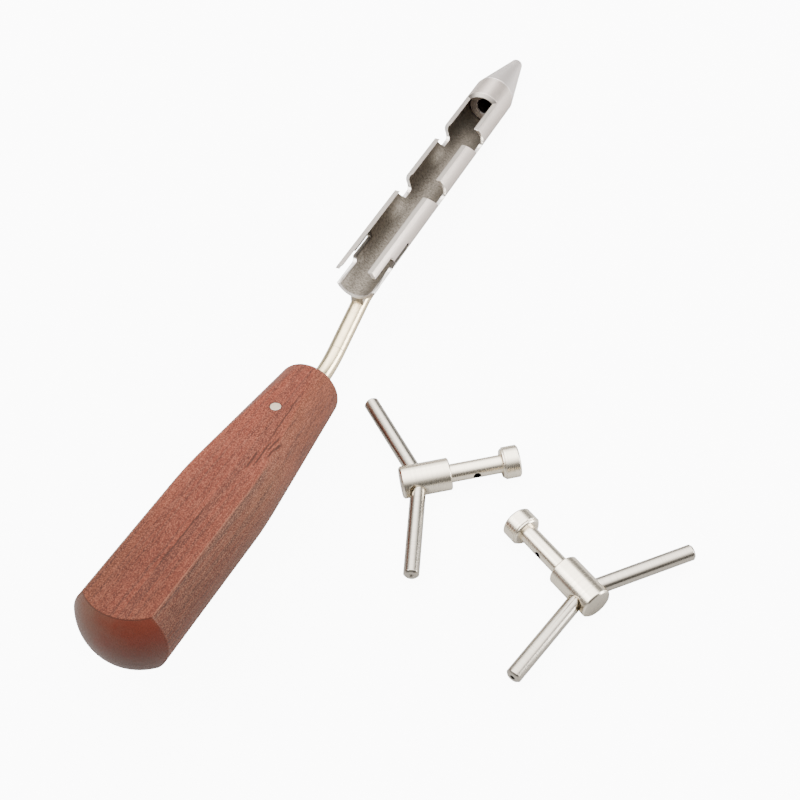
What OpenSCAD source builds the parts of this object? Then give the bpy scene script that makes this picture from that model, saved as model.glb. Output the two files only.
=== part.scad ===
// Wire twister for bone surgery: a round wooden handle, a slotted steel trough
// that takes a winding key at three stations, a bored nose, and two loose keys.
// Millimetres. The tool lies along X with its nose at +X, on a floor at Z = 0.

/* [Trough] */
// Outside diameter of the tube the trough is cut from
tube_d = 13.4; // [13:0.1:13.6]
// Wall thickness of the tube
tube_wall = 1.1; // [0.9:0.05:1.3]
// Length of the tube, rear end to nose shoulder
tube_len = 105; // [104:0.5:108]
// Where the open top ends and the closed tube begins
open_len = 94.2; // [92:0.2:96]
// Height of the rims above the tube's axis
rim_h = 4.15; // [3.8:0.05:4.3]

/* [Key stations] */
// Rear edge of the front notch, measured at the rims
notch_1_x = 69; // [66:0.5:70]
// Rear edge of the middle notch, measured at the rims
notch_2_x = 38.8; // [36:0.5:42]
// Length of a notch at the rims
notch_top = 9.7; // [9.4:0.1:10.2]
// Length of a notch's floor
notch_floor = 5.6; // [5.4:0.1:6]
// How far the rear face runs forward on its way down
notch_run = 6.5; // [6:0.1:7]
// Height of a notch's floor against the tube's axis
notch_z = -2.9; // [-3.1:0.05:-2.6]
// Radius in the notch's lower front corner
notch_r = 1.4; // [1:0.1:1.6]
// Depth of the slot that is open at the rear
slot_len = 11.6; // [10.6:0.1:12]
// Height of the rear slot's centre line against the tube's axis
slot_z = -0.25; // [-0.4:0.05:-0.1]
// Corner radius at that slot's forward end
slot_round = 1.5; // [1:0.1:1.8]
// Forward end of the narrow relief slot
relief_end = 22; // [20:0.5:25]
// Width of the narrow relief slot
relief_w = 1.9; // [1.6:0.1:2]
// Height of the relief slot's centre line against the tube's axis
relief_z = -0.65; // [-0.75:0.05:-0.4]

/* [Nose] */
// Length of the nose in front of its shoulder
nose_len = 22; // [20:0.5:24]
// Length of the plug inside the tube
plug_len = 7; // [5:0.5:9]
// Diameter of the wire bore
wire_d = 2.2; // [1.8:0.1:2.6]
// Diameter of the funnel's mouth at the rear of the plug
funnel_d = 6; // [5:0.2:7]
// Edge radius at the nose's tip
tip_r = 0.9; // [0.7:0.05:1.2]

/* [Shank] */
// Rod diameter
rod_d = 5; // [4.6:0.1:5.4]
// Slope of the rod where it climbs to the tube, degrees
rod_slope = 20; // [19:0.1:21]
// Radius of the bend in front of the handle
bend_r = 30; // [28:1:32]
// Front end of the rod, under the tube
rod_front_x = 11.5; // [10:0.5:13]
// Straight length of the rod in front of the handle, before its bend
rod_ahead = 4; // [3:0.1:5]
// How far the rod lies below the handle's axis
rod_low = 0.8; // [0:0.1:1]
// Length of the weld that joins the rod to the tube's underside
weld_len = 10.6; // [9:0.1:12]
// Width of that weld
weld_w = 3.8; // [3:0.1:4]
// Depth of the tang in the handle
tang_len = 62; // [50:1:75]

/* [Handle] */
// Distance from the tube's rear end back to the handle's front face
handle_gap = 29.5; // [28:0.1:31]
// Length of the handle
handle_len = 104.3; // [100:0.1:110]
// Height of the handle's front centre against the tube's axis
handle_z = -16.6; // [-17:0.05:-16.2]
// Upward slope of the handle towards its butt, degrees
handle_tilt = 3.7; // [3:0.1:4.2]
// Diameter at the front face's edge
front_d = 17.7; // [17:0.1:17.8]
// Diameter of the round grip behind the taper
swell_d = 25.7; // [24.6:0.1:27]
// Thickness between the two milled flats
flat_t = 18; // [17.4:0.2:19]
// Edge radius of the front face
front_r = 2; // [1.5:0.1:2.5]
// Distance from the front face over which the handle tapers
taper_len = 49.2; // [46:0.2:54]
// Height of the spherical dome on the butt
dome_len = 6.5; // [5:0.1:8]
// Diameter of the cross pin
pin_d = 3; // [2.6:0.1:3.4]
// Distance of the pin behind the front face
pin_back = 20.6; // [19:0.1:23]

/* [Keys] */
// Diameter of a key's hub and head
hub_d = 8.8; // [8.4:0.1:9.2]
// Length of the hub
hub_len = 13.4; // [12.5:0.1:14]
// Diameter of the spool that sits in the trough
spool_d = 5; // [4.8:0.1:5]
// Free length of the spool, which spans the trough
spool_len = 14; // [13.6:0.1:15]
// Length of the head
head_len = 4.9; // [4.5:0.1:5.5]
// Diameter of the wire hole across the spool
cross_d = 2; // [1.6:0.1:2.4]
// Diameter of the two bars
bar_d = 4.2; // [3.8:0.1:4.4]
// Length of a bar from the hub's axis to its tip
bar_len = 30.3; // [27:0.1:32]
// Distance of the bars from the hub's rear face
bar_x = 5; // [4.8:0.1:5.4]
// Sweep of the bars away from the head, degrees
bar_sweep = 15.2; // [12:0.2:18]

/* [Hidden] */
$fn = 72;
fit = 0.03; // radial clearance between pieces that are pushed or soldered together
over = 1; // how far a cutting body runs past the face it cuts
tube_r = tube_d / 2;
bore_r = tube_r - tube_wall;
wire_r = wire_d / 2;
rod_r = rod_d / 2;
hub_r = hub_d / 2;
bar_r = bar_d / 2;
spool_r = spool_d / 2;
steel = [0.80, 0.79, 0.78];
key_steel = [0.74, 0.72, 0.69];
wood = [0.62, 0.35, 0.30];

// The handle's own frame: its front centre, and the slope of its axis.
front_c = [-handle_gap, handle_z];
// The rod: along the handle, round one bend, up to the tube, then under it.
bend_end = front_c + rod_ahead * [cos(handle_tilt), -sin(handle_tilt)]
  - rod_low * [sin(handle_tilt), cos(handle_tilt)];
bend_c = bend_end + bend_r * [sin(handle_tilt), cos(handle_tilt)];
bend_start = bend_c + bend_r * [sin(rod_slope), -cos(rod_slope)];
kink_z = -(tube_r + rod_r + fit);
climb = (kink_z - bend_start[1]) / sin(rod_slope);
kink_x = bend_start[0] + climb * cos(rod_slope);
past = 1.2 * rod_r * tan(rod_slope / 2); // overlap that closes the joint

// The tool rests on the lower edge of the nose's shoulder and on the handle's
// lower front edge, which is rounded about edge_c.
nose_x = tube_len + nose_len;
tip_c = [nose_x - tip_r, -wire_r];
shoulder = 0.15; // chamfer between the nose and the tube's end
rest_c = [tube_len + shoulder, -tube_r];
rise = (swell_d - front_d) / 2 / taper_len; // radius gained along the taper
edge_u = -front_r;
edge_w = -(front_d / 2 + rise * front_r - front_r);
edge_c = front_c + [edge_u * cos(handle_tilt) + edge_w * sin(handle_tilt),
                    -edge_u * sin(handle_tilt) + edge_w * cos(handle_tilt)];
span = rest_c - edge_c;
pitch = atan2(span[1], span[0]) + asin(front_r / norm(span));
lift = edge_c[0] * sin(pitch) - edge_c[1] * cos(pitch) + front_r;

// Each key's place on the floor: hub's rear centre and heading, counted from
// the point of the floor under the tube's rear end.
key_at = [[-49.6, -35.2], [-65.7, -96]];
key_yaw = [-55, 60];

// The bounding box, from which the origin follows: middle of its underside.
dome_r = (pow(swell_d / 2, 2) + pow(dome_len, 2)) / (2 * dome_len);
dome_c = front_c + (handle_len - dome_r) * [-cos(handle_tilt), sin(handle_tilt)];
x_min = dome_c[0] * cos(pitch) + dome_c[1] * sin(pitch) - dome_r;
x_max = tip_c[0] * cos(pitch) + wire_r * sin(pitch) + tip_r;
low_a = 90 + bar_sweep - key_yaw[1];
low_m = key_at[1][1] + bar_x * sin(key_yaw[1]);
bar_ch = 0.5; // chamfer at a bar's tip
y_min = low_m - max(bar_len * sin(low_a) + (bar_r - bar_ch) * abs(cos(low_a)),
                    (bar_len - bar_ch) * sin(low_a) + bar_r * abs(cos(low_a)));
y_max = swell_d / 2;
shift_x = -(x_min + x_max) / 2;
shift_y = -(y_min + y_max) / 2;

// Frames
module tool_frame() {
  translate([shift_x, shift_y, lift]) rotate([0, pitch, 0]) children();
}

module handle_frame() {
  tool_frame()
    translate([front_c[0], 0, front_c[1]])
      rotate([0, handle_tilt, 0])
        children();
}

module key_frame(n) {
  translate([shift_x + key_at[n][0], shift_y + key_at[n][1], hub_r])
    rotate([0, 0, key_yaw[n]])
      children();
}

module bar_frame(side) {
  translate([bar_x, 0, 0]) rotate([0, 0, side * (90 + bar_sweep)]) children();
}

// Helpers
module rod_x(x0, x1, r) {
  translate([x0, 0, 0]) rotate([0, 90, 0]) cylinder(h = x1 - x0, r = r);
}

// A profile of [x, r] points turned about the X axis.
module turned(points) {
  rotate([0, 90, 0]) rotate_extrude($fn = 96) polygon([for (p = points) [p[1], p[0]]]);
}

module across_y(depth) {
  rotate([90, 0, 0]) linear_extrude(height = depth, center = true) children();
}

function arc(c, r, a0, a1, n) =
  [for (i = [0:n]) c + r * [cos(a0 + (a1 - a0) * i / n), sin(a0 + (a1 - a0) * i / n)]];

// Trough: a tube milled open along its top, with three stations for a key.
module notch(x0) {
  h = rim_h - notch_z;
  lean = (x0 + notch_run + notch_floor - x0 - notch_top) / h;
  front = x0 + notch_run + notch_floor;
  a = atan(lean);
  cx = front - notch_r * lean - notch_r / cos(a);
  cz = notch_z + notch_r;
  up = tube_r + over - rim_h;
  across_y(tube_d + 2 * over) union() {
    polygon([[x0 - up * notch_run / h, rim_h + up], [x0 + notch_run, notch_z],
             [cx, notch_z], [cx, cz], [cx + notch_r * cos(a), cz + notch_r * sin(a)],
             [x0 + notch_top - up * lean, rim_h + up]]);
    translate([cx, cz]) circle(r = notch_r, $fn = 48);
  }
}

module rear_slot() {
  half = spool_r + 0.1;
  across_y(tube_d + 2 * over) union() {
    translate([-over, slot_z - half]) square([slot_len - slot_round + over, 2 * half]);
    translate([0, slot_z - half + slot_round]) square([slot_len, 2 * (half - slot_round)]);
    for (side = [-1, 1])
      translate([slot_len - slot_round, slot_z + side * (half - slot_round)])
        circle(r = slot_round, $fn = 48);
    translate([slot_len - over, relief_z - relief_w / 2])
      square([relief_end - relief_w / 2 - slot_len + over, relief_w]);
    translate([relief_end - relief_w / 2, relief_z]) circle(r = relief_w / 2, $fn = 32);
  }
}

module trough() {
  color(steel) tool_frame() difference() {
    rod_x(0, tube_len, tube_r);
    rod_x(-over, tube_len + over, bore_r);
    translate([-over, -tube_r - over, rim_h])
      cube([open_len + over, tube_d + 2 * over, tube_r]);
    notch(notch_1_x);
    notch(notch_2_x);
    rear_slot();
  }
}

// Nose: a turned plug and cone in one piece, bored for the wire.
module nose() {
  cone_a = atan2(tube_r - wire_r - tip_r, nose_len - tip_r);
  plug_r = bore_r - fit;
  color(steel) tool_frame() turned(concat(
    [[tube_len - plug_len, funnel_d / 2], [tube_len - plug_len, plug_r - 0.4],
     [tube_len - plug_len + 0.4, plug_r], [tube_len, plug_r],
     [tube_len, tube_r - shoulder], [tube_len + shoulder, tube_r]],
    arc([nose_x - tip_r, wire_r], tip_r, 90 - cone_a, 0, 8),
    [[tube_len + 1, wire_r]]));
}

// Shank: a bent rod; the tang end is hidden in the handle.
module rod_line(r, from, to) {
  translate([bend_start[0], 0, bend_start[1]])
    rotate([0, -rod_slope, 0])
      rod_x(from, to, r);
}

// The bend: one straight length between two mitred joints.
module bend_part() {
  turn = rod_slope + handle_tilt;
  translate([bend_c[0], 0, bend_c[1]])
    rotate([0, handle_tilt - turn / 2, 0])
      translate([0, 0, -bend_r])
        rotate([0, 90, 0])
          cylinder(h = 2 * (bend_r + rod_r) * tan(turn / 2), r = rod_r, center = true);
}

module shank() {
  color(steel) tool_frame() difference() {
    union() {
      translate([0, 0, kink_z]) rod_x(kink_x - past, rod_front_x, rod_r);
      rod_line(rod_r, 0, climb + past);
      bend_part();
      translate([front_c[0], 0, front_c[1]])
        rotate([0, handle_tilt, 0])
          translate([0, 0, -rod_low])
            rod_x(-tang_len, rod_ahead, rod_r);
    }
    translate([front_c[0], 0, front_c[1]])
      rotate([0, handle_tilt, 0])
        translate([-pin_back, 0, -2 * rod_d])
          cylinder(h = 4 * rod_d, r = pin_d / 2 + fit);
  }
}

// Weld: fills the wedge between the rod and the tube, and both sides of it.
module shank_weld() {
  color(steel) tool_frame() difference() {
    translate([0.4, -weld_w / 2, kink_z])
      cube([weld_len, weld_w, tube_wall + rod_r]);
    rod_x(-over, rod_front_x + over, tube_r + fit);
    translate([0, 0, kink_z]) rod_x(kink_x - past - fit, rod_front_x + over, rod_r + fit);
    rod_line(rod_r + fit, 0, climb + past + fit);
  }
}

// Handle: turned to a taper, a round grip and a domed butt, then milled flat
// above and below.
module handle_blank() {
  fr = front_d / 2;
  sr = swell_d / 2;
  blend = 6; // half length of the soft knee between taper and grip
  knee = [for (i = [0:8]) [-taper_len + blend - 2 * blend * i / 8,
                           sr - rise * blend * pow(1 - i / 8, 2)]];
  half = asin(sr / dome_r);
  dome = [for (i = [0:16]) half * (1 - i / 16)];
  turned(concat([[0, 0]], arc([-front_r, fr - front_r + rise * front_r], front_r, 0, 90, 8), knee,
                [for (a = dome) [-handle_len + dome_r * (1 - cos(a)), dome_r * sin(a)]]));
}

module handle_body() {
  intersection() {
    handle_blank();
    translate([-handle_len - over, -swell_d, -flat_t / 2])
      cube([handle_len + 2 * over, 2 * swell_d, flat_t]);
  }
}

module handle() {
  color(wood) handle_frame() difference() {
    handle_body();
    translate([0, 0, -rod_low]) rod_x(-tang_len - over, over, rod_r + fit);
    translate([-pin_back, 0, -swell_d])
      cylinder(h = 2 * swell_d, r = pin_d / 2 + fit);
  }
}

module handle_pin() {
  color(steel) handle_frame() intersection() {
    translate([-pin_back, 0, -swell_d]) cylinder(h = 2 * swell_d, r = pin_d / 2);
    handle_body();
  }
}

// Keys: a spool shaft with a hub and a head on it, and two bars in the hub.
socket_x = 8; // where the hub's blind bore for the shaft ends
head_seat = 3.4; // how far the shaft goes into the head

module shaft() {
  color(key_steel) difference() {
    rod_x(socket_x + 0.2, hub_len + spool_len + head_seat - 0.2, spool_r);
    translate([hub_len + spool_len / 2, 0, 0])
      rotate([90, 0, 0])
        cylinder(h = 2 * spool_d, r = cross_d / 2, center = true, $fn = 48);
  }
}

module hub() {
  ch = 0.45;
  spot = 2.9; // radius of the spot face round a bar
  color(key_steel) difference() {
    turned([[0, 0], [0, hub_r - ch], [ch, hub_r], [hub_len - 0.3, hub_r],
            [hub_len, hub_r - 0.3], [hub_len, 0]]);
    rod_x(socket_x, hub_len + over, spool_r + fit);
    for (side = [1, -1]) {
      bar_frame(side) rod_x(1.6, hub_d, bar_r + fit);
      bar_frame(side) rod_x(hub_r - 0.7, hub_d, spot);
    }
  }
}

module head() {
  x0 = hub_len + spool_len;
  color(key_steel) difference() {
    turned([[x0, 0], [x0, hub_r - 0.7], [x0 + 0.35, hub_r - 0.35], [x0 + 0.7, hub_r - 0.35],
            [x0 + 0.7, hub_r - 0.1], [x0 + 0.8, hub_r],
            [x0 + head_len - 0.4, hub_r], [x0 + head_len, hub_r - 0.4], [x0 + head_len, 0]]);
    rod_x(x0 - over, x0 + head_seat, spool_r + fit);
  }
}

module bar(side, drilled) {
  color(key_steel) bar_frame(side) difference() {
    turned([[1.8, 0], [1.8, bar_r], [bar_len - bar_ch, bar_r],
            [bar_len, bar_r - bar_ch], [bar_len, 0]]);
    if (drilled)
      turned([[bar_len - 0.7, 0], [bar_len + 0.1, 0.8], [bar_len + 0.1, 0]]);
  }
}

module key_1_shaft() { key_frame(0) shaft(); }
module key_1_hub() { key_frame(0) hub(); }
module key_1_head() { key_frame(0) head(); }
module key_1_bar_a() { key_frame(0) bar(1, false); }
module key_1_bar_b() { key_frame(0) bar(-1, true); }
module key_2_shaft() { key_frame(1) shaft(); }
module key_2_hub() { key_frame(1) hub(); }
module key_2_head() { key_frame(1) head(); }
module key_2_bar_a() { key_frame(1) bar(1, false); }
module key_2_bar_b() { key_frame(1) bar(-1, true); }

handle();
handle_pin();
shank();
shank_weld();
trough();
nose();
key_1_shaft();
key_1_hub();
key_1_head();
key_1_bar_a();
key_1_bar_b();
key_2_shaft();
key_2_hub();
key_2_head();
key_2_bar_a();
key_2_bar_b();
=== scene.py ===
from math import cos, pi, radians, sin, tan

import bmesh
import bpy
from mathutils import Matrix, Vector


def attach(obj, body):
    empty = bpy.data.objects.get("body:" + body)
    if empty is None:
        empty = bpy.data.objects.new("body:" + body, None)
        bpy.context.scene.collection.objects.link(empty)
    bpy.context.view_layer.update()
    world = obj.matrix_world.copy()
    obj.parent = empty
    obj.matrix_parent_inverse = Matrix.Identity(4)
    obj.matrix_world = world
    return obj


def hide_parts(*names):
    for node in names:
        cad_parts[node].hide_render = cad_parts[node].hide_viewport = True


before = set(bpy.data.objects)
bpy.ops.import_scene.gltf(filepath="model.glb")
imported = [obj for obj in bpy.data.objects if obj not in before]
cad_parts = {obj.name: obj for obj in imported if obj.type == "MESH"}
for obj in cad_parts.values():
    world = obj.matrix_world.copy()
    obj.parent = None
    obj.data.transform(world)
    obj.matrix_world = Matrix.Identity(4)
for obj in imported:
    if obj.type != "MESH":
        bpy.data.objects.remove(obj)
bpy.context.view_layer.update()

scene = bpy.context.scene


# Studio
# A white painted board, with the tool and its keys lying on it, in a pale room. A
# bright ceiling and three soft lamps light it, and the near side is dimmer. The
# camera alone sees the board and the walls as plain white.
def add(tree, kind, inputs=None, **settings):
    node = tree.nodes.new(kind)
    for name, value in settings.items():
        setattr(node, name, value)
    for name, value in (inputs or {}).items():
        if isinstance(value, bpy.types.NodeSocket):
            tree.links.new(value, node.inputs[name])
        else:
            node.inputs[name].default_value = value
    return node


def maths(tree, operation, first, second=0.0):
    return add(tree, "ShaderNodeMath", {0: first, 1: second}, operation=operation).outputs[0]


def product(tree, first, *others):
    for other in others:
        first = maths(tree, "MULTIPLY", first, other)
    return first


def ranged(tree, value, low, high, to_low=0.0, to_high=1.0, curve="LINEAR"):
    limits = {"Value": value, "From Min": low, "From Max": high, "To Min": to_low, "To Max": to_high}
    return add(tree, "ShaderNodeMapRange", limits, interpolation_type=curve).outputs["Result"]


def axes_of(tree, position):
    return add(tree, "ShaderNodeSeparateXYZ", {"Vector": position}).outputs


def white_to_camera(tree):
    seen = add(tree, "ShaderNodeLightPath").outputs["Is Camera Ray"]
    return product(tree, seen, 10.0)


def new_material(name):
    material = bpy.data.materials.new(name)
    material.use_nodes = True
    material.node_tree.nodes.clear()
    return material, material.node_tree


def surface(tree, sockets):
    shader = add(tree, "ShaderNodeBsdfPrincipled", sockets)
    add(tree, "ShaderNodeOutputMaterial", {"Surface": shader.outputs["BSDF"]})


def piece_from(shape, name, material, smooth=35):
    mesh = bpy.data.meshes.new(name)
    shape.to_mesh(mesh)
    shape.free()
    mesh.shade_smooth()
    mesh.set_sharp_from_angle(angle=radians(smooth))
    mesh.materials.append(material)
    piece = bpy.data.objects.new(name, mesh)
    scene.collection.objects.link(piece)
    return piece


board, tree = new_material("white painted board")
where = add(tree, "ShaderNodeTexCoord").outputs["Object"]
mottle = add(tree, "ShaderNodeTexNoise", {"Vector": where, "Scale": 9.0, "Detail": 4.0})
surface(tree, {"Base Color": ranged(tree, mottle.outputs["Fac"], 0.0, 1.0, 0.32, 0.36),
               "Roughness": 0.8, "Specular IOR Level": 0.1,
               "Emission Color": (1.0, 1.0, 1.0, 1.0), "Emission Strength": white_to_camera(tree)})
floor_reach = 3.0
shape = bmesh.new()
bmesh.ops.create_grid(shape, x_segments=2, y_segments=2, size=floor_reach)
floor = piece_from(shape, "floor", board)

wall_light = 0.30
ceiling_light = 7.0
near_side_share = 0.45
away_from_camera = (0.88, 0.476, 0.0)
world = bpy.data.worlds.new("studio walls")
world.use_nodes = True
walls = world.node_tree
toward = add(walls, "ShaderNodeTexCoord").outputs["Generated"]
upward = axes_of(walls, toward)["Z"]
light = ranged(walls, upward, 0.50, 1.0, wall_light, ceiling_light, "SMOOTHSTEP")
across = add(walls, "ShaderNodeVectorMath", {0: toward, 1: away_from_camera}, operation="DOT_PRODUCT")
share = ranged(walls, across.outputs["Value"], -0.75, 0.15, near_side_share, 1.0, "SMOOTHSTEP")
total = maths(walls, "ADD", white_to_camera(walls), product(walls, light, share))
background = walls.nodes["Background"]
background.inputs["Color"].default_value = (1.0, 0.99, 0.98, 1.0)
walls.links.new(total, background.inputs["Strength"])
scene.world = world


def lamp(name, place, target, size, watts):
    light = bpy.data.lights.new(name, "AREA")
    light.shape = "RECTANGLE"
    light.size, light.size_y = size
    light.energy = watts
    held = bpy.data.objects.new(name, light)
    held.location = place
    held.rotation_euler = (Vector(target) - Vector(place)).to_track_quat("-Z", "Y").to_euler()
    scene.collection.objects.link(held)


lamp("wide lamp behind the nose", (0.52, 0.30, 0.52), (0.0, 0.02, 0.0), size=(0.6, 0.55), watts=3.0)
lamp("panel on the right", (0.30, -0.62, 0.16), (0.0, 0.0, 0.01), size=(0.5, 0.35), watts=7.5)
lamp("lamp upper left", (-0.35, 0.45, 0.60), (0.0, 0.0, 0.0), size=(0.45, 0.45), watts=3.6)

camera_place = (-0.252494, -0.098607, 0.327582)
camera_heading = 28.416
camera_dip = 50.67
camera_roll = -5.507
camera = bpy.data.objects.new("camera", bpy.data.cameras.new("camera"))
camera.data.lens = 67.41
camera.data.sensor_width = 36.0
camera.data.clip_start = 0.01
camera.matrix_world = (Matrix.Translation(camera_place)
                       @ Matrix.Rotation(radians(camera_heading - 90), 4, "Z")
                       @ Matrix.Rotation(radians(90 - camera_dip), 4, "X")
                       @ Matrix.Rotation(radians(camera_roll), 4, "Z"))
scene.collection.objects.link(camera)
scene.camera = camera


# Handle
# Turned from one piece of red-brown hardwood: a straight taper, a round grip and
# a domed butt. Then milled flat above and below, sanded, and wiped with oil.
mm = Matrix.Scale(0.001, 4)
tool_place = (0.0040122, 0.0507236, 0.020914)
tool_dip = radians(7.8031)
tool = Matrix.Translation(tool_place) @ Matrix.Rotation(tool_dip, 4, "Y")
handle_front = Vector((-29.5, 0, -16.6))
handle_tilt = radians(3.7)
grip = tool @ Matrix.Translation(mm @ handle_front) @ Matrix.Rotation(handle_tilt, 4, "Y")

# Sizes of shapes are in millimetres. The taper is the radius gained in a millimetre of
# length, and front_gain is what the radius gains over the rounded front edge.
handle_length = 104.3
front_radius = 8.85
front_round = 2.0
front_gain = 0.163
taper = 0.0813
taper_length = 49.2
taper_blend = 12.0
grip_radius = 12.85
dome_radius = 15.95
dome_angle = radians(53.68)
dome_start = -handle_length + dome_radius * (1 - cos(dome_angle))
flat_height = 9.0
ridge_round = 0.35
pin_back = 20.6
pin_radius = 1.56
pin = grip @ Matrix.Translation((-0.001 * pin_back, 0, 0))
tang_drop = 0.8
tang_radius = 2.6


def fine_lines():
    group = bpy.data.node_groups.new("Fine lines", "ShaderNodeTree")
    group.interface.new_socket("Position", in_out="INPUT", socket_type="NodeSocketVector")
    group.interface.new_socket("Per metre", in_out="INPUT", socket_type="NodeSocketVector")
    group.interface.new_socket("Detail", in_out="INPUT", socket_type="NodeSocketFloat")
    group.interface.new_socket("Lines", in_out="OUTPUT", socket_type="NodeSocketFloat")
    given = add(group, "NodeGroupInput").outputs
    spread = add(group, "ShaderNodeVectorMath", {0: given["Position"], 1: given["Per metre"]},
                 operation="MULTIPLY")
    noise = add(group, "ShaderNodeTexNoise",
                {"Vector": spread.outputs[0], "Detail": given["Detail"], "Scale": 1.0})
    add(group, "NodeGroupOutput", {"Lines": ranged(group, noise.outputs["Fac"], 0.3, 0.7)})
    return group


# Rounded normals at the edges, and a mask of the edges that the steel uses for a painted highlight.
def rounded_edges():
    group = bpy.data.node_groups.new("Rounded edges", "ShaderNodeTree")
    group.interface.new_socket("Radius", in_out="INPUT", socket_type="NodeSocketFloat")
    group.interface.new_socket("Edge", in_out="OUTPUT", socket_type="NodeSocketFloat")
    group.interface.new_socket("Normal", in_out="OUTPUT", socket_type="NodeSocketVector")
    given = add(group, "NodeGroupInput").outputs
    rounded = add(group, "ShaderNodeBevel", {"Radius": given["Radius"]}, samples=6).outputs["Normal"]
    plain = add(group, "ShaderNodeNewGeometry").outputs["Normal"]
    turn = add(group, "ShaderNodeVectorMath", {0: rounded, 1: plain}, operation="DOT_PRODUCT")
    edge = ranged(group, turn.outputs["Value"], 0.99, 0.8)
    add(group, "NodeGroupOutput", {"Edge": edge, "Normal": rounded})
    return group


lines_group = fine_lines()
edges_group = rounded_edges()


def lines(tree, position, per_metre, detail):
    given = {"Position": position, "Per metre": per_metre, "Detail": detail}
    return add(tree, "ShaderNodeGroup", given, node_tree=lines_group).outputs["Lines"]


def edges(tree, radius):
    return add(tree, "ShaderNodeGroup", {"Radius": radius}, node_tree=edges_group).outputs


def placed(tree, place):
    given = {"Vector": add(tree, "ShaderNodeTexCoord").outputs["Object"],
             "Location": place.to_translation(), "Rotation": place.to_euler()}
    return add(tree, "ShaderNodeMapping", given, vector_type="TEXTURE").outputs["Vector"]


def mixed(tree, factor, first, second, blend="MIX"):
    node = add(tree, "ShaderNodeMix", {0: factor, 6: first, 7: second},
               data_type="RGBA", blend_type=blend)
    return node.outputs[2]


def distance(tree, first, second):
    squares = maths(tree, "ADD", product(tree, first, first), product(tree, second, second))
    return maths(tree, "SQRT", squares)


# In the materials, places and widths are in metres. X runs from the handle's butt
# to its front, and the butt's end grain shows little of the lengthwise figure.
wood, tree = new_material("oiled red-brown hardwood")
grain = placed(tree, grip)
axis = axes_of(tree, grain)
bands = lines(tree, grain, (8.0, 180.0, 150.0), detail=4.0)
patches = lines(tree, grain, (16.0, 70.0, 70.0), detail=2.0)
streaks = lines(tree, grain, (12.0, 1150.0, 1150.0), detail=5.0)
fibres = lines(tree, grain, (120.0, 3000.0, 3000.0), detail=4.0)
pores = lines(tree, grain, (210.0, 4400.0, 4400.0), detail=2.0)
specks = lines(tree, grain, (3400.0, 4600.0, 4600.0), detail=0.0)
below_flat = maths(tree, "SUBTRACT", 0.001 * flat_height, maths(tree, "ABSOLUTE", axis["Z"]))
flat = ranged(tree, below_flat, 0.00020, 0.00008)
dome_at = 0.001 * dome_start
dome = ranged(tree, axis["X"], dome_at + 0.0005, dome_at - 0.0006)
butt = product(tree, dome, maths(tree, "SUBTRACT", 1.0, flat))
lengthwise = maths(tree, "SUBTRACT", 1.0, product(tree, butt, 0.70))

# Red bands, browner in patches and towards the rear left and the front right. Over
# them go the dark streaks, the pale fibres, the pores and the specks.
dark_red = (0.098, 0.0165, 0.008, 1)
warm_red = (0.170, 0.036, 0.018, 1)
red_brown = (0.110, 0.040, 0.017, 1)
streak_brown = (0.056, 0.014, 0.008, 1)
fibre_pink = (0.245, 0.070, 0.038, 1)
pore_brown = (0.030, 0.008, 0.0045, 1)
pale_speck = (0.33, 0.12, 0.070, 1)
dark_speck = (0.040, 0.010, 0.005, 1)
tint = mixed(tree, bands, dark_red, warm_red)
brown_left = product(tree, ranged(tree, axis["Y"], 0.001, 0.009),
                     ranged(tree, axis["X"], -0.055, -0.090, 0.0, 0.6))
brown_right = product(tree, ranged(tree, axis["Y"], -0.001, -0.006),
                      ranged(tree, axis["X"], -0.045, -0.020, 0.0, 0.5))
brown = ranged(tree, patches, 0.35, 1.0, 0.0, 0.6)
brown = maths(tree, "MAXIMUM", brown, maths(tree, "MAXIMUM", brown_left, brown_right))
tint = mixed(tree, brown, tint, red_brown)
streak = product(tree, ranged(tree, streaks, 0.50, 0.05), lengthwise)
tint = mixed(tree, streak, tint, streak_brown)
fibre = product(tree, ranged(tree, fibres, 0.45, 1.0, 0.0, 0.45), lengthwise)
tint = mixed(tree, fibre, tint, fibre_pink)
pore = product(tree, ranged(tree, pores, 0.34, 0.10), lengthwise)
tint = mixed(tree, product(tree, pore, 0.5), tint, pore_brown)
pale = product(tree, ranged(tree, specks, 0.50, 0.90), lengthwise)
tint = mixed(tree, product(tree, pale, 0.42), tint, pale_speck)
dark = product(tree, ranged(tree, specks, 0.45, 0.10), lengthwise)
tint = mixed(tree, product(tree, dark, 0.46), tint, dark_speck)

# The rear is darker and the front is redder; the round sides are painted greyer towards the rear, a
# painted sheen.
rear_shade = (0.55, 0.52, 0.49, 1)
painted_side_sheen = (1.0, 1.38, 1.46, 1)
front_shade = (0.99, 0.89, 0.87, 1)
rear = ranged(tree, axis["X"], -0.035, -0.085, 0.0, 0.8)
tint = mixed(tree, rear, tint, rear_shade, "MULTIPLY")
sheen_on_sides = product(tree, ranged(tree, below_flat, 0.0001, 0.0004),
                 ranged(tree, axis["X"], -0.012, -0.060, 0.25, 1.0))
tint = mixed(tree, sheen_on_sides, tint, painted_side_sheen, "MULTIPLY")
front = ranged(tree, axis["X"], -0.045, -0.020)
tint = mixed(tree, front, tint, front_shade, "MULTIPLY")


# Short splits in the upper flat, each from its start to its end with its half width.
def split(tree, axis, wander, start, end, half_width):
    way = ranged(tree, axis["X"], start[0], end[0])
    line = maths(tree, "ADD", ranged(tree, way, 0.0, 1.0, start[1], end[1]), wander)
    aside = maths(tree, "ABSOLUTE", maths(tree, "SUBTRACT", axis["Y"], line))
    thin = ranged(tree, aside, half_width, half_width * 0.3)
    ends = product(tree, ranged(tree, way, 0.0, 0.2), ranged(tree, way, 1.0, 0.8))
    above = ranged(tree, axis["Z"], 0.002, 0.004)
    return product(tree, thin, ends, above)


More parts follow.
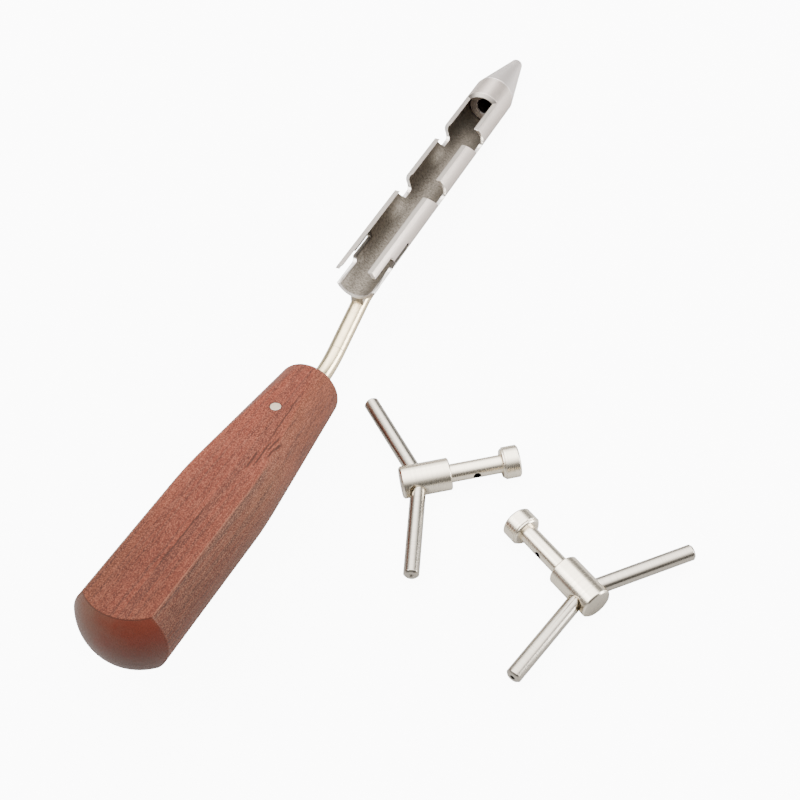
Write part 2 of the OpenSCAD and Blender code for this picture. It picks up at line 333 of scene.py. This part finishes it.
split_brown = (0.035, 0.009, 0.004, 1)
wander = lines(tree, grain, (260.0, 0.0, 0.0), detail=2.0)
wander = ranged(tree, wander, 0.0, 1.0, -0.00018, 0.00018)
for start, end, half_width in (
        ((-0.0114, -0.0035), (-0.0359, -0.0051), 0.00028),
        ((-0.0302, -0.0069), (-0.0375, -0.0064), 0.0004),
        ((-0.0318, -0.0081), (-0.0400, -0.0074), 0.0004),
        ((-0.0325, -0.0055), (-0.0440, -0.0058), 0.0004),
        ((-0.0373, -0.0041), (-0.0458, -0.0047), 0.0005),
        ((-0.0569, -0.0024), (-0.0869, -0.0021), 0.0003)):
    crack = split(tree, axis, wander, start, end, half_width)
    tint = mixed(tree, product(tree, crack, 0.9), tint, split_brown)

# The butt is a deeper red on its upper right; its lower left is painted greyer and lighter,
# a painted sheen. It is dark where it meets the flats. The ridges of the flats carry a
# painted highlight, a pale line, and the wood round the pin is stained.
butt_sheen_grey = (0.080, 0.038, 0.024, 1)
red_butt = (0.092, 0.0135, 0.0055, 1)
ridge_highlight_pink = (0.36, 0.16, 0.10, 1)
border_brown = (0.030, 0.008, 0.004, 1)
stain_brown = (0.045, 0.011, 0.006, 1)
facing = maths(tree, "ADD", product(tree, axis["Z"], 0.7), product(tree, axis["Y"], -0.7))
clouds = lines(tree, grain, (130.0, 130.0, 130.0), detail=3.0)
facing = maths(tree, "ADD", facing, ranged(tree, clouds, 0.0, 1.0, -0.006, 0.006))
butt_red_and_sheen = mixed(tree, ranged(tree, facing, -0.003, 0.010), butt_sheen_grey, red_butt)
tint = mixed(tree, product(tree, butt, 0.8), tint, butt_red_and_sheen)
# A painted highlight: a pale line along the ridges of the flats, from the middle towards the rear.
ridge = product(tree, ranged(tree, below_flat, 0.00028, 0.00020),
                ranged(tree, below_flat, 0.000005, 0.00002),
                ranged(tree, axis["X"], -0.030, -0.060),
                ranged(tree, axis["X"], dome_at + 0.0002, dome_at + 0.0012))
tint = mixed(tree, product(tree, ridge, 0.22), tint, ridge_highlight_pink)
border = product(tree, ranged(tree, below_flat, 0.00042, 0.00028),
                 ranged(tree, below_flat, 0.00008, 0.00020),
                 ranged(tree, axis["X"], dome_at + 0.0006, dome_at - 0.0002))
tint = mixed(tree, product(tree, border, 0.65), tint, border_brown)
beside_pin = axes_of(tree, placed(tree, pin))
from_pin = distance(tree, beside_pin["X"], beside_pin["Y"])
tint = mixed(tree, ranged(tree, from_pin, 0.0021, 0.0016, 0.0, 0.75), tint, stain_brown)
height = maths(tree, "SUBTRACT", product(tree, fibres, 0.5), pore)
bump = add(tree, "ShaderNodeBump", {"Height": height, "Normal": edges(tree, 0.0005)["Normal"],
                                    "Distance": 0.00006, "Strength": 0.6})
surface(tree, {"Base Color": tint, "Normal": bump.outputs["Normal"],
               "Roughness": ranged(tree, streaks, 0.0, 1.0, 0.58, 0.70), "Specular IOR Level": 0.16,
               "Coat Weight": product(tree, butt, 0.22), "Coat Roughness": 0.3,
               "Sheen Weight": 0.11, "Sheen Roughness": 0.45, "Sheen Tint": (0.95, 0.86, 0.86, 1)})


# The mesh is worked in millimetres along the handle's own axis and then placed.
def turned(outline, steps):
    shape = bmesh.new()
    rim = [shape.verts.new((x, 0, radius)) for x, radius in outline]
    wire = [shape.edges.new(pair) for pair in zip(rim, rim[1:])]
    bmesh.ops.spin(shape, geom=rim + wire, cent=(0, 0, 0), axis=(1, 0, 0), angle=2 * pi,
                   steps=steps, use_merge=True)
    bmesh.ops.remove_doubles(shape, verts=shape.verts, dist=0.001)
    return shape


def milled_flat(shape, height, side):
    everything = shape.verts[:] + shape.edges[:] + shape.faces[:]
    bmesh.ops.bisect_plane(shape, geom=everything, plane_co=(0, 0, height), plane_no=(0, 0, side),
                           clear_outer=True)
    bmesh.ops.holes_fill(shape, edges=[edge for edge in shape.edges if edge.is_boundary], sides=0)


front_middle = front_radius + front_gain - front_round
round_steps = 8
dome_steps = 16
outline = [(0.0, 0.0)]
for i in range(round_steps + 1):
    a = pi / 2 * i / round_steps
    outline.append((front_round * (cos(a) - 1), front_middle + front_round * sin(a)))
for i in range(round_steps + 1):
    past = i / round_steps
    outline.append((taper_blend * (0.5 - past) - taper_length,
                    grip_radius - taper * taper_blend / 2 * (1 - past) ** 2))
for i in range(dome_steps + 1):
    a = dome_angle * (1 - i / dome_steps)
    outline.append((dome_radius * (1 - cos(a)) - handle_length, dome_radius * sin(a)))
shape = turned(outline, steps=128)
for side in (1, -1):
    milled_flat(shape, flat_height * side, side)
bmesh.ops.recalc_face_normals(shape, faces=shape.faces)
flats = [face for face in shape.faces if len(face.verts) > 8]
ridges = [edge for face in flats for edge in face.edges]
bmesh.ops.bevel(shape, geom=ridges, offset=ridge_round, segments=3, profile=0.5, material=-1,
                affect="EDGES", clamp_overlap=True)
shape.transform(grip @ mm)
handle = piece_from(shape, "turned_handle", wood, 28)


def cut_away(piece, bit):
    mesh = bpy.data.meshes.new("bit")
    bit.to_mesh(mesh)
    bit.free()
    tool_bit = bpy.data.objects.new("bit", mesh)
    scene.collection.objects.link(tool_bit)
    hole = piece.modifiers.new("hole", "BOOLEAN")
    hole.operation = "DIFFERENCE"
    hole.solver = "EXACT"
    hole.object = tool_bit
    bpy.context.view_layer.update()
    worked = piece.evaluated_get(bpy.context.evaluated_depsgraph_get())
    piece.data = bpy.data.meshes.new_from_object(worked)
    piece.modifiers.clear()
    bpy.data.objects.remove(tool_bit)
    bpy.data.meshes.remove(mesh)


def drilled(piece, place, radius, depth):
    bit = bmesh.new()
    bmesh.ops.create_cone(bit, cap_ends=True, segments=64, radius1=radius, radius2=radius, depth=depth)
    bit.transform(place @ mm)
    cut_away(piece, bit)


def even_shading(piece):
    even = piece.modifiers.new("even shading", "WEIGHTED_NORMAL")
    even.keep_sharp = True


tang = grip @ Matrix.Translation((0, 0, -0.001 * tang_drop))
drilled(handle, pin, pin_radius, depth=40)
drilled(handle, tang @ Matrix.Rotation(pi / 2, 4, "Y"), tang_radius, depth=12)
even_shading(handle)
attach(handle, "tool")
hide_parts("handle")


# Steel parts of the tool
# Trough: stainless tube, milled open and notched, then glass blasted outside.
# The nose is turned, the pin is cut flush with the wood.
def steel(name, place, light, dark, per_metre, rough, detail=None):
    material, tree = new_material(name)
    at = placed(tree, place)
    fine = lines(tree, at, per_metre, detail=3.0)
    soft = lines(tree, at, (60.0, 60.0, 60.0), detail=4.0)
    tint = mixed(tree, product(tree, fine, 0.7), light, dark)
    tint = mixed(tree, product(tree, soft, 0.25), tint, dark)
    gloss = maths(tree, "ADD", ranged(tree, fine, 0.0, 1.0, rough - 0.05, rough + 0.05),
                  product(tree, soft, 0.06))
    # A detail changes the tint and the gloss, and lists what goes over the painted edge highlight.
    over_edges = []
    if detail:
        tint, gloss, over_edges = detail(tree, at, tint, gloss)
    # The edges get rounded normals and a painted highlight, a pale tint laid along them.
    highlit_edges = edges(tree, 0.00025)
    tint = mixed(tree, product(tree, highlit_edges["Edge"], 0.6), tint, (0.90, 0.88, 0.85, 1))
    for mask, colour in over_edges:
        tint = mixed(tree, mask, tint, colour)
    bump = add(tree, "ShaderNodeBump", {"Height": fine, "Normal": highlit_edges["Normal"],
                                        "Distance": 0.00001, "Strength": 0.5})
    surface(tree, {"Base Color": tint, "Metallic": 1.0, "Roughness": gloss,
                   "Normal": bump.outputs["Normal"]})
    return material


def off_axis(tree, at):
    axis = axes_of(tree, at)
    return distance(tree, axis["Y"], axis["Z"])


# The scoring lines are the bore's own, but both of its tones are painted shade, darker towards the
# front.
def scored_shaded_bore(tree, at, within, tint, gloss, lighter_bore_shade, darker_bore_shade):
    scored = mixed(tree, lines(tree, at, (3600.0, 1500.0, 1500.0), detail=3.0), lighter_bore_shade, darker_bore_shade)
    deeper = ranged(tree, axes_of(tree, at)["X"], 0.035, 0.095, 0.0, 0.5)
    scored = mixed(tree, deeper, scored, darker_bore_shade)
    gloss = maths(tree, "ADD", gloss, product(tree, within, 0.16))
    return mixed(tree, within, tint, scored), gloss


def finish_with(material, *names):
    for name in names:
        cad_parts[name].material_slots[0].material = material


tube_radius = 6.7
tube_wall = 1.1
bore_radius = tube_radius - tube_wall
rim_height = 4.15
ring_start = 94.2
relief_end = 22.0
relief_top = 0.8
relief_bottom = -1.9


# The milled faces are painted lighter, partly for their bright finish and partly as painted light.
# The rim tops are painted darker as painted shade, the relief slots darker still as painted
# shadow, and the bore is scored and painted dark as shade.
def milled_tube(tree, at, tint, gloss):
    axis = axes_of(tree, at)
    tube_at = 0.001 * tube_radius
    bore_at = 0.001 * bore_radius
    rim_at = 0.001 * rim_height
    slot_end = 0.001 * relief_end
    slot_top = 0.001 * relief_top
    slot_bottom = 0.001 * relief_bottom
    from_axis = off_axis(tree, at)
    within = ranged(tree, from_axis, bore_at + 0.00010, bore_at + 0.00004)
    cut = ranged(tree, from_axis, tube_at - 0.00002, tube_at - 0.00006)
    # The rim tops are painted darker, a painted shade.
    top = product(tree, ranged(tree, axis["Z"], rim_at - 0.00007, rim_at - 0.00003), cut)
    # The relief slot faces are painted near black, a painted shadow inside the slots.
    slot = product(tree, ranged(tree, axis["Z"], slot_top + 0.0002, slot_top - 0.0002),
                   ranged(tree, axis["Z"], slot_bottom - 0.0002, slot_bottom + 0.0002), cut,
                   ranged(tree, axis["X"], slot_end + 0.0006, slot_end + 0.0002))
    bare_and_lit_faces = maths(tree, "SUBTRACT", cut, within)
    bare_and_lit_faces = maths(tree, "SUBTRACT", bare_and_lit_faces, maths(tree, "ADD", top, slot))
    bare_and_lit_faces = maths(tree, "MAXIMUM", bare_and_lit_faces, 0.0)
    # The milled faces are painted lighter: partly their bright finish, partly painted light.
    tint = mixed(tree, bare_and_lit_faces, tint, (0.98, 0.93, 0.87, 1))
    gloss = maths(tree, "SUBTRACT", gloss, product(tree, bare_and_lit_faces, 0.08))
    tint, gloss = scored_shaded_bore(tree, at, within, tint, gloss, lighter_bore_shade=(0.36, 0.32, 0.27, 1),
                              darker_bore_shade=(0.115, 0.098, 0.078, 1))
    return tint, gloss, [(product(tree, top, 0.94), (0.36, 0.325, 0.29, 1)),
                         (slot, (0.10, 0.088, 0.073, 1))]


def bored_nose(tree, at, tint, gloss):
    along = axes_of(tree, at)["X"]
    mouth_radius = 0.0028
    mouth_end = 0.115
    # The bore of the nose is painted nearly black, a painted shade inside the hole.
    within = ranged(tree, off_axis(tree, at), mouth_radius + 0.00010, mouth_radius + 0.00004)
    within = product(tree, within, ranged(tree, along, mouth_end, mouth_end - 0.001))
    tint, gloss = scored_shaded_bore(tree, at, within, tint, gloss, lighter_bore_shade=(0.10, 0.085, 0.07, 1),
                              darker_bore_shade=(0.04, 0.033, 0.025, 1))
    return tint, gloss, []


def copy_of(node, name, material):
    shape = bmesh.new()
    shape.from_mesh(node.data)
    shape.transform(node.matrix_world)
    bmesh.ops.remove_doubles(shape, verts=shape.verts, dist=0.000001)
    return piece_from(shape, name, material, 28)


blasted = steel("blasted steel", tool, light=(0.88, 0.77, 0.695, 1), dark=(0.72, 0.625, 0.56, 1),
                per_metre=(3000.0, 1400.0, 1400.0), rough=0.36, detail=milled_tube)
finish_with(blasted, "trough")
trough = copy_of(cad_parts["trough"], "milled_trough", blasted)

# A chamfer of 45 degrees breaks the rear edge of the closed ring, above the rims. The
# bit that cuts it is a turned ring of triangular section, a little larger all round.
bit_start = ring_start - 0.2
bit_inner = bore_radius - 0.2
bit_outer = tube_radius + 0.5
bit_end = bit_start + bit_outer - bit_inner
bit = turned([(bit_start, bit_inner), (bit_start, bit_outer), (bit_end, bit_outer),
              (bit_start, bit_inner)], steps=144)
milled_flat(bit, rim_height + 0.01, -1)
bmesh.ops.recalc_face_normals(bit, faces=bit.faces)
bit.transform(tool @ mm)
cut_away(trough, bit)
even_shading(trough)
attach(trough, "tool")
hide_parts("trough")

turned_nose = steel("turned nose steel", tool, light=(0.95, 0.875, 0.835, 1),
                    dark=(0.86, 0.785, 0.74, 1), per_metre=(4000.0, 60.0, 60.0), rough=0.40,
                    detail=bored_nose)
finish_with(turned_nose, "nose")
pin_steel = steel("pin steel", pin, light=(0.54, 0.45, 0.34, 1), dark=(0.44, 0.36, 0.27, 1),
                  per_metre=(1500.0, 1500.0, 60.0), rough=0.45)
finish_with(pin_steel, "handle_pin")


# Shank
# A 5 mm round rod, bent cold in two places and polished. Its tang is pinned in the
# handle and its front end is welded to the underside of the trough.
def heading(angle):
    return Vector((cos(angle), 0, sin(angle)))


def pushed(shape, face, way):
    made = bmesh.ops.extrude_face_region(shape, geom=[face])["geom"]
    bmesh.ops.translate(shape, verts=[v for v in made if isinstance(v, bmesh.types.BMVert)], vec=way)
    return [f for f in made if isinstance(f, bmesh.types.BMFace)][0]


def bent(shape, face, middle, angle, steps):
    made = bmesh.ops.spin(shape, geom=[face] + face.edges[:] + face.verts[:], cent=middle,
                          axis=(0, 1, 0), angle=angle, steps=steps)["geom_last"]
    return [f for f in made if isinstance(f, bmesh.types.BMFace)][0]


rod_radius = 2.5
rod_inside = 20.0
rod_ahead = 4.0
rod_front = 11.5
rod_slope = radians(20)
rod_fit = 0.03
rod_chamfer = 0.5
low_bend = 30.0
high_bend = 10.0
weld_height = -(tube_radius + rod_radius + rod_fit)
forward = heading(-handle_tilt)
across_handle = heading(pi / 2 - handle_tilt)
uphill = heading(rod_slope)
below_slope = heading(rod_slope - pi / 2)
rod_start = handle_front - rod_inside * forward - tang_drop * across_handle
straight = rod_inside + rod_ahead
low_middle = rod_start + straight * forward + low_bend * across_handle
slope_start = low_middle + low_bend * below_slope
slope_length = (weld_height - slope_start.z) / sin(rod_slope) - high_bend * tan(rod_slope / 2)
high_middle = slope_start + slope_length * uphill + high_bend * below_slope
across_rod = Matrix.Translation(rod_start) @ Matrix.Rotation(pi / 2 + handle_tilt, 4, "Y")
shape = bmesh.new()
bmesh.ops.create_circle(shape, cap_ends=True, radius=rod_radius, segments=56, matrix=across_rod)
tip = pushed(shape, shape.faces[:][0], straight * forward)
tip = bent(shape, tip, low_middle, -(handle_tilt + rod_slope), 24)
tip = pushed(shape, tip, slope_length * uphill)
tip = bent(shape, tip, high_middle, rod_slope, 16)
tip = pushed(shape, tip, Vector((rod_front - high_middle.x, 0, 0)))
bmesh.ops.bevel(shape, geom=tip.edges[:], offset=rod_chamfer, segments=3, profile=0.5, material=-1,
                affect="EDGES")
bmesh.ops.recalc_face_normals(shape, faces=shape.faces)
shape.transform(tool @ mm)
polished = steel("polished rod steel", tool, light=(0.98, 0.815, 0.51, 1),
                 dark=(0.78, 0.64, 0.42, 1), per_metre=(80.0, 1500.0, 1500.0), rough=0.22)
rod = piece_from(shape, "bent_rod", polished)
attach(rod, "tool")
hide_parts("shank")

# The weld bead is brushed, with a painted shadow line along its rear toe.
weld, tree = new_material("brushed weld")
bead = placed(tree, tool)
along = axes_of(tree, bead)["X"]
toe_shadow = product(tree, ranged(tree, along, -0.0009, -0.0005), ranged(tree, along, 0.0006, 0.0002))
brushing = lines(tree, bead, (900.0, 900.0, 900.0), detail=4.0)
tint = mixed(tree, brushing, (0.92, 0.85, 0.74, 1), (0.58, 0.52, 0.43, 1))
tint = mixed(tree, product(tree, toe_shadow, 0.9), tint, (0.05, 0.042, 0.035, 1))
surface(tree, {"Base Color": tint, "Metallic": 1.0, "Roughness": 0.45})
finish_with(weld, "shank_weld")


# Keys
# Two alike: a turned hub, a 5 mm spool with a wire hole, a collar on its end, and
# two straight bars pressed into the hub and swept back. Turned steel, left satin.
hub_radius = 4.4
hub_length = 13.4
spool_length = 14.0
bar_from_rear = 5.0
bar_sweep = 15.2
bar_length = 30.3
centre_radius = 0.9
centre_over = 0.2
key_places = ((-49.6, -35.2, -55.0), (-65.7, -96.0, 60.0))
centred_bar = (2, "a")


def cross_drilled(tree, at, tint, gloss):
    axis = axes_of(tree, at)
    hole_at = 0.001 * (hub_length + spool_length / 2)
    from_hole = distance(tree, maths(tree, "SUBTRACT", axis["X"], hole_at), axis["Z"])
    # The wall of the wire hole is painted nearly black, a painted shade inside the hole.
    tint = mixed(tree, ranged(tree, from_hole, 0.00107, 0.00102), tint, (0.03, 0.027, 0.024, 1))
    # The hub's rear end face is painted darker, a painted shade.
    shaded_rear_face = ranged(tree, axis["X"], 0.00012, 0.00006)
    tint = mixed(tree, shaded_rear_face, tint, (0.70, 0.70, 0.70, 1), "MULTIPLY")
    return tint, gloss, []


# The centre-drill dimple at the bar's tip is painted nearly black, a painted shade in the hollow.
def shaded_centre(tree, at, tint, gloss):
    centre = ranged(tree, off_axis(tree, at), 0.0009, 0.0006)
    tint = mixed(tree, centre, tint, (0.02, 0.018, 0.015, 1))
    return tint, gloss, []


for number, (x, y, yaw) in enumerate(key_places, 1):
    key_at = Vector((tool_place[0], tool_place[1], 0)) + 0.001 * Vector((x, y, hub_radius))
    key = Matrix.Translation(key_at) @ Matrix.Rotation(radians(yaw), 4, "Z")
    body = steel("turned key %d" % number, key, light=(0.97, 0.87, 0.69, 1),
                 dark=(0.74, 0.67, 0.56, 1), per_metre=(3200.0, 50.0, 50.0), rough=0.22,
                 detail=cross_drilled)
    finish_with(body, "key_%d_shaft" % number, "key_%d_hub" % number, "key_%d_head" % number)
    for letter, side in (("a", 1), ("b", -1)):
        bar = (key @ Matrix.Translation((0.001 * bar_from_rear, 0, 0))
               @ Matrix.Rotation(radians(side * (90 + bar_sweep)), 4, "Z"))
        # The bars are tinted much darker than the hub's steel, a painted shade.
        bar_steel = steel("bar %s of key %d" % (letter, number), bar, light=(0.56, 0.51, 0.435, 1),
                          dark=(0.40, 0.36, 0.30, 1), per_metre=(2600.0, 50.0, 50.0), rough=0.20,
                          detail=shaded_centre if (number, letter) == centred_bar else None)
        finish_with(bar_steel, "key_%d_bar_%s" % (number, letter))
        if (number, letter) == centred_bar:
            centred = copy_of(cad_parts["key_2_bar_a"], "centred_bar", bar_steel)
            bit = bmesh.new()
            bmesh.ops.create_cone(bit, cap_ends=True, segments=48, radius1=0.02,
                                  radius2=centre_radius, depth=centre_radius)
            middle = bar_length + centre_over - centre_radius / 2
            bit.transform(bar @ Matrix.Translation((0.001 * middle, 0, 0))
                          @ Matrix.Rotation(pi / 2, 4, "Y") @ mm)
            cut_away(centred, bit)
            even_shading(centred)
            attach(centred, "key_2")
            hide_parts("key_2_bar_a")
